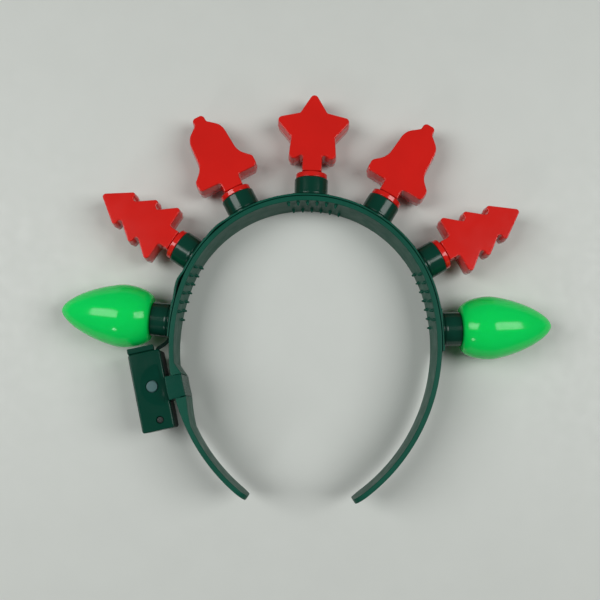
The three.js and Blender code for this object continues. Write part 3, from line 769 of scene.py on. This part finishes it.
# %% Build the red shapes
shape_high = 43.5
shape_wide = 34.0
shape_deep = 14.5
draft = 0.45
face_edge = 0.7
collar_across = 16.4
collar_high = 2.6
into_collar = 0.1
tree_half = [
    (0.34, 0, 0.02),
    (0.34, 0.125, 0.02),
    (1.08, 0.125, 0.05),
    (0.5, 0.4, 0.02),
    (0.9, 0.4, 0.045),
    (0.34, 0.68, 0.02),
    (0.7, 0.68, 0.042),
    (0, 1.06, 0.05),
]
bell_half = [
    (0.33, 0, 0.02),
    (0.33, 0.125, 0.025),
    (1, 0.125, 0.062),
    (1, 0.27, 0.062),
    (0.66, 0.4, 0.2),
    (0.6, 0.78, 0.2),
    (0.22, 0.905, 0.03),
    (0.22, 1, 0.058),
]


def star_outline():
    """A five-pointed star on a short stem, drawn in shares of its height."""
    reach, waist, stem, stem_turn = 0.515, 0.56, 0.125, 12.5
    centre = 1.02 - reach
    notch = centre - reach * waist * math.cos(math.radians(stem_turn)) - 0.02
    corners = [(stem, 0, 0.02), (stem, notch, 0.02)]
    for i in range(1, 10):
        turn = math.radians(180 - i * 36)
        r = reach if i % 2 else reach * waist
        corners.append((math.sin(turn) * r, centre + math.cos(turn) * r, 0.062 if i % 2 else 0.03))
    corners += [(-stem, notch, 0.02), (-stem, 0, 0.02)]
    return [(x * shape_high, y * shape_high, soft * shape_high) for x, y, soft in corners]


outlines = {
    "tree": mirrored(tree_half, shape_wide, shape_high),
    "bell": mirrored(bell_half, shape_wide, shape_high),
    "star": star_outline(),
}
half_deep = shape_deep / 2
upper_levels = [(0.14, 0.02), (0.3, 0.02), (half_deep - face_edge, draft)]
for k in range(1, 6):
    turn = math.radians(18 * k)
    depth = draft + face_edge * 0.7 * (1 - math.cos(turn))
    upper_levels.append((half_deep - face_edge * (1 - math.sin(turn)), depth))
seam = [(0, 0.14)]
levels = [(-z, by) for z, by in reversed(upper_levels)] + seam + upper_levels
shape_foot = rim_height + collar_high
collar_line = eased([
    (0, neck_low, 0),
    (neck, neck_low, 0.2),
    (neck, rim_height, 0),
    (collar_across / 2, rim_height, 0.25),
    (collar_across / 2, shape_foot, 0.45),
    (0, shape_foot, 0),
])
for lamp in lamps:
    if lamp["kind"] == "bulb":
        continue
    body = moved(stack(outlines[lamp["kind"]], levels), y=shape_foot - into_collar)
    skin = together([body, lathe(collar_line)])
    show(f"{lamp['name']}_skin", skin, lamp["place"], "red_shape", lamp["name"])

# %% [markdown]
# ## The battery case
# The case is a deep tray with a lid, hung on the left arm by a square loop. The tray's own frame
# has X towards the band and Y towards its top end. Past the top end sits a low lip.

# %% Build the tray and the lip
case_wide = 16.2
case_long = 39.8
case_deep = 16.5
case_top = 9.0
case_wall = 1.5
case_corner = 1.3
lid_thick = 2.0
lid_edge = 0.7
loop_wall = 1.2
loop_standoff = 1.7
loop_from_end = 20.55
case_lean = 0.42
loop_reach = band_thick + gap + loop_wall + loop_standoff
case_tilt = math.radians(-90 - loop_at - case_lean)
case_turn = Matrix.Rotation(case_tilt, 4, "Z")
from_loop = case_turn @ Vector((-case_wide / 2, loop_from_end - case_long / 2, 0))
case_place = Matrix.Translation(Vector((*on_band(loop_at, loop_reach), 0)) + from_loop) @ case_turn
lid_low = case_top - lid_thick
tray_top = lid_low - gap
tray_low = case_top - case_deep
tray_floor = tray_low + case_wall


def oblong(width, length, soft, x=0.0, y=0.0):
    """The four corners of a rectangle, each with the same rounding."""
    wide, long = width / 2, length / 2
    return [
        (x + wide, y - long, soft),
        (x + wide, y + long, soft),
        (x - wide, y + long, soft),
        (x - wide, y - long, soft),
    ]


def block(width, length, low, high, x, y):
    """A small box with round corners and eased edges."""
    soft, edge = 0.5, 0.25
    levels = [(low, edge), (low + edge * 0.3, edge * 0.3), (low + edge, 0)]
    levels += [(high - edge, 0), (high - edge * 0.3, edge * 0.3), (high, edge)]
    return stack(oblong(width, length, soft, x, y), levels, 15)


case_outline = oblong(case_wide, case_long, case_corner)
tray = stack(case_outline, [
    (tray_low, lid_edge),
    (tray_low + lid_edge * 0.3, lid_edge * 0.3),
    (tray_low + lid_edge, 0),
    (tray_top - 0.15, 0),
    (tray_top, 0.15),
    (tray_top, case_wall - 0.1),
    (tray_floor, case_wall),
], 9)

lip_long, lip_wide, lip_gap, lip_into_tray = 3.1, 13.3, 0.4, 0.5
lip_x = (lip_wide - case_wide) / 2
lip_top = case_top - 0.6
lip_low = lip_top - 3.4
lip_end = case_long / 2 + lip_long
bar_long = lip_long - lip_gap
foot_long = lip_long + lip_into_tray
lip_bar = block(lip_wide, bar_long, lip_low, lip_top, lip_x, lip_end - bar_long / 2)
lip_foot = block(lip_wide, foot_long, lip_low, tray_top, lip_x, lip_end - foot_long / 2)
show("case_skin", together([tray, lip_bar, lip_foot]), case_place, "case", "battery_case")

# %% [markdown]
# ### The loop
# The loop is drawn along the hoop, because it must fit the curve of the arm. Its outer side is a
# thick shoulder that fills the space up to the case, and a solid bridge runs on from there into
# the tray. It is duller than the tray, and its green is painted a little lighter than the tray's:
# painted light for the brightness on its inner face. So it is a piece of its own with its own
# finish, but both stand for the one imported solid.

# %% Build the loop
loop_side = gap + loop_wall
bridge_half = 6.3
loop_angles = stations(loop_at - loop_spread, loop_at + loop_spread, 0.8)
loop_angles += end_stations(loop_at - loop_spread, loop_at + loop_spread, arm_inside, 0.3)
loop_angles.sort()
ring_top = band_thick + loop_side
outer = strip_rings(loop_angles, lambda a: -stop_rise, lambda a: loop_reach - gap,
                    lambda a: half_width(a) + loop_side, 0.6, 0.3)
inner = strip_rings(loop_angles, lambda a: -gap, lambda a: band_thick + gap,
                    lambda a: half_width(a) + gap, 0.3)
ring = loft([inner[0], *outer, inner[-1], *reversed(inner[1:-1]), inner[0]], (False, False))
bridge = loft(strip_rings(loop_angles, lambda a: ring_top - 0.6, lambda a: loop_reach + 0.8,
                          lambda a: bridge_half, 0.3, 0.25))
show("loop_skin", together([ring, bridge]), as_drawn, "loop", "battery_case")

# %% [markdown]
# ### The lid
# A thumb finds the button by the scoop round it: a shallow round dish, deepest at its straight
# right side, cut into the lid's bevelled face. A cutter with a curved underside makes it, the way a
# mould maker's electrode would. Three more cutters leave the hole for the button and the stepped
# hole for the screw.

# %% Build the lid
scoop_long = 21.4
scoop_tips = 5.6
scoop_depth = 1.25
scoop_bulge = 0.9
button_half, screw_half, shank_half = 2.8, 1.6, 0.8
counterbore = 1.6
button_x, button_y = 0.8, case_long / 2 - 17.7
screw_x, screw_y = 1.7, 5.0 - case_long / 2


def scoop():
    """The cutter for the dish: a half disc with a bulging right side and a curved underside."""
    half = scoop_long / 2
    reach = (half ** 2 + scoop_bulge ** 2) / (2 * scoop_bulge)
    under = []
    rows, across = 44, 30
    for i in range(rows + 1):
        y = half * 0.992 * math.sin(math.pi * (i / rows - 0.5))
        right = scoop_tips + scoop_bulge - reach + math.sqrt(reach ** 2 - y ** 2)
        left = scoop_tips - math.sqrt(max(0.0, half ** 2 - y ** 2))
        for j in range(across + 1):
            x = left + (right - left) * j / across
            fall = 1 - ((x - scoop_tips) ** 2 + y ** 2) / half ** 2
            under.append(Vector((x, button_y + y, case_top + 0.02 - scoop_depth * max(0.0, fall))))
    wide = across + 1
    count = len(under)
    points = under + [Vector((p.x, p.y, case_top + 1)) for p in under]
    faces = []
    for i in range(rows):
        for j in range(across):
            a = i * wide + j
            faces.append((a, a + wide, a + wide + 1, a + 1))
            faces.append((count + a, count + a + 1, count + a + wide + 1, count + a + wide))
    rim = [i * wide for i in range(rows + 1)] + [rows * wide + j for j in range(1, wide)]
    rim += [i * wide + across for i in range(rows - 1, -1, -1)] + list(range(across - 1, 0, -1))
    for a, b in zip(rim, rim[1:] + rim[:1]):
        faces.append((a, b, count + b, count + a))
    return points, faces


def drill(radius, low, high, x, y):
    """The cutter for a round hole."""
    line = [(0, low), (radius, low), (radius, high), (0, high)]
    return moved(upright(lathe(line, 48)), x, y)


lid_levels = [(lid_low, 0.12), (lid_low + 0.12, 0)]
for k in range(6):
    turn = math.radians(k * 15)
    lid_levels.append((case_top - lid_edge * (1 - math.sin(turn)), lid_edge * (1 - math.cos(turn))))
lid_levels.append((case_top, lid_edge))
below, above = lid_low - 1, case_top + 1
lid = carved(stack(case_outline, lid_levels, 9), [
    scoop(),
    drill(button_half + gap, below, above, button_x, button_y),
    drill(screw_half + gap, case_top - counterbore, above, screw_x, screw_y),
    drill(shank_half + gap, below, above, screw_x, screw_y),
])
show("lid_skin", lid, case_place, "case", "battery_lid", sharp=24)

# %% [markdown]
# ### The button and the screw
# The button is a soft grey-green cap that stands just proud of the dish. Below the lid it has a
# flange, so it can't fall out. It is a body of its own, because it moves when it is pressed. The
# small steel screw keeps the lid closed, as toy rules ask. Two small cutters leave its cross.

# %% Build the button and the screw
dish_deep, button_proud = 0.9, 0.55
flange_half, flange_thick = 4, 0.8
button_top = case_top - dish_deep + button_proud
flange_top = lid_low - gap
button_line = eased([
    (0, flange_top - flange_thick, 0),
    (flange_half, flange_top - flange_thick, 0.15),
    (flange_half, flange_top, 0.15),
    (button_half, flange_top, 0),
    (button_half, button_top - 0.08, 0.4),
    (1.6, button_top - 0.01, 0.5),
    (0, button_top, 0),
], 6)
button = moved(upright(lathe(button_line)), button_x, button_y)
show("button_skin", button, case_place, "button", "push_button", "button")

screw_top = case_top - 0.7
head_low = screw_top - 0.6
shank_low = screw_top - 6
screw_line = eased([
    (0, shank_low, 0),
    (shank_half, shank_low, 0.3),
    (shank_half, head_low, 0),
    (screw_half, head_low, 0.1),
    (screw_half, screw_top - 0.05, 0.25),
    (0.8, screw_top, 0.4),
    (0, screw_top, 0),
])
screw = moved(upright(lathe(screw_line, 40)), screw_x, screw_y)
slot_turn = math.radians(25)
slot_half_wide, slot_half_long = 0.28, 1.15
slot_deep = 0.4
slot_corners = [
    (slot_half_wide, -slot_half_long),
    (slot_half_wide, slot_half_long),
    (-slot_half_wide, slot_half_long),
    (-slot_half_wide, -slot_half_long),
]
slots = []
for quarter in (0, math.pi / 2):
    points, faces = loft([[(x, y, z) for x, y in slot_corners]
                          for z in (screw_top - slot_deep, screw_top + 0.5)])
    spin = Matrix.Rotation(slot_turn + quarter, 4, "Z")
    slots.append(moved(([spin @ p for p in points], faces), screw_x, screw_y))
show("screw_skin", carved(screw, slots), case_place, "screw", "lid_screw", sharp=30)

# %% [markdown]
# ## The lead
# Two thin strands run side by side from the end of the case up to the strip, where they join the
# other wires. They follow one smooth bend, held at both ends.

# %% Build the lead
strand = 0.9
lead_z = 5.0
lead_x = 6.5
lead_inside = 2.4
bend_case, bend_strip = 1.2, 3
start = (case_place @ Vector((lead_x, case_long / 2 - lead_inside, 0))).to_2d()
leave_at = (case_place @ Vector((lead_x, case_long / 2, 0))).to_2d()
leave = (case_turn @ Vector((0, 1, 0))).to_2d()
end_angle = strip_from - clear_spread
arrive = Vector((math.cos(math.radians(end_angle)), -math.sin(math.radians(end_angle))))
end = on_band(end_angle, strip_low + strand)
knots = [leave_at, leave_at + leave * bend_case, end - arrive * bend_strip, end]
route = [start]
for i in range(25):
    t = i / 24
    weights = ((1 - t) ** 3, 3 * t * (1 - t) ** 2, 3 * t * t * (1 - t), t ** 3)
    route.append(sum((k * w for k, w in zip(knots, weights)), Vector((0, 0))))
sides = 14
strands = []
for away in (-strand / 2, strand / 2):
    rings = []
    for i, at in enumerate(route):
        along = (route[min(i + 1, len(route) - 1)] - route[max(i - 1, 0)]).normalized()
        across = Vector((-along.y, along.x))
        ring = []
        for k in range(sides):
            turn = math.tau * k / sides
            spot = at + across * (away + strand / 2 * math.cos(turn))
            ring.append((*spot, lead_z + strand / 2 * math.sin(turn)))
        rings.append(ring)
    strands.append(loft(rings))
show("lead_skin", together(strands), as_drawn, "lead", "battery_lead")
lead_long = sum((b - a).length for a, b in zip(route, route[1:]))
print("lead, mm:", round(lead_long, 1))

# %% [markdown]
# ## The camera
# The photograph was taken from above, a little towards the open end of the hoop. The camera's
# place and direction come from a fit of the hoop's upper and lower rims to the picture, and they
# are given in the hoop's own plane. The focal length is given in pixels of a 600 pixel picture,
# and becomes millimetres on a 36 mm sensor.

# %% Camera
eye = hoop @ Vector((-1.55, -44.26, 429.75))
forward = (hoop.to_3x3() @ Vector((-0.0045, 0.1356, -0.9907))).normalized()
up = (hoop.to_3x3() @ Vector((-0.0329, 0.9901, 0.1357))).normalized()
right = forward.cross(up).normalized()
up = right.cross(forward)
camera = bpy.data.objects.new("camera", bpy.data.cameras.new("camera"))
bpy.context.scene.collection.objects.link(camera)
camera.matrix_world = Matrix.Translation(eye) @ Matrix((right, up, -forward)).transposed().to_4x4()
sensor, focal_px, picture_px = 36, 840, 600
camera.data.sensor_width = sensor
camera.data.lens = focal_px / picture_px * sensor
camera.data.clip_start = 0.01
bpy.context.scene.camera = camera
print("camera at", [round(v, 3) for v in eye])

# %% [markdown]
# ## Table and light
# A plain pale table, two soft boxes left and right, a faint one in front, and a dim room. The
# boxes' places can be read off the bulbs: a highlight on a round body tells the direction that
# its light comes from.

# %% Table, boxes and room
floor_half = 3
floor_corners = [(x * floor_half, y * floor_half, 0) for x, y in ((-1, -1), (1, -1), (1, 1), (-1, 1))]
floor_mesh = bpy.data.meshes.new("floor")
floor_mesh.from_pydata(floor_corners, [], [(0, 1, 2, 3)])
floor = bpy.data.objects.new("floor", floor_mesh)
bpy.context.scene.collection.objects.link(floor)
floor_mesh.materials.append(plastic("pale_table", (0.60, 0.625, 0.59), 0.5, drift=0.01, peel=0.0))


def soft_box(name, place, width, length, watts):
    """A rectangular lamp that points at the middle of the table."""
    box = bpy.data.objects.new(name, bpy.data.lights.new(name, "AREA"))
    box.data.shape = "RECTANGLE"
    box.data.size = width
    box.data.size_y = length
    box.data.energy = watts
    box.location = place
    box.rotation_euler = (-Vector(place)).to_track_quat("-Z", "Y").to_euler()
    bpy.context.scene.collection.objects.link(box)


soft_box("box_left", (-0.72, 0.09, 0.96), 0.5, 0.82, 7.7)
soft_box("box_right", (0.72, 0.09, 0.96), 0.5, 0.82, 7.7)
soft_box("box_front", (-0.55, -0.9, 0.65), 0.2, 0.2, 1)
print("soft boxes:", sorted(light.name for light in bpy.data.lights))
room = bpy.data.worlds.new("room")
bpy.context.scene.world = room
room.use_nodes = True
backdrop = room.node_tree.nodes["Background"]
backdrop.inputs["Color"].default_value = (0.95, 1, 0.97, 1)
backdrop.inputs["Strength"].default_value = 0.08
bpy.context.scene.view_settings.view_transform = "Standard"
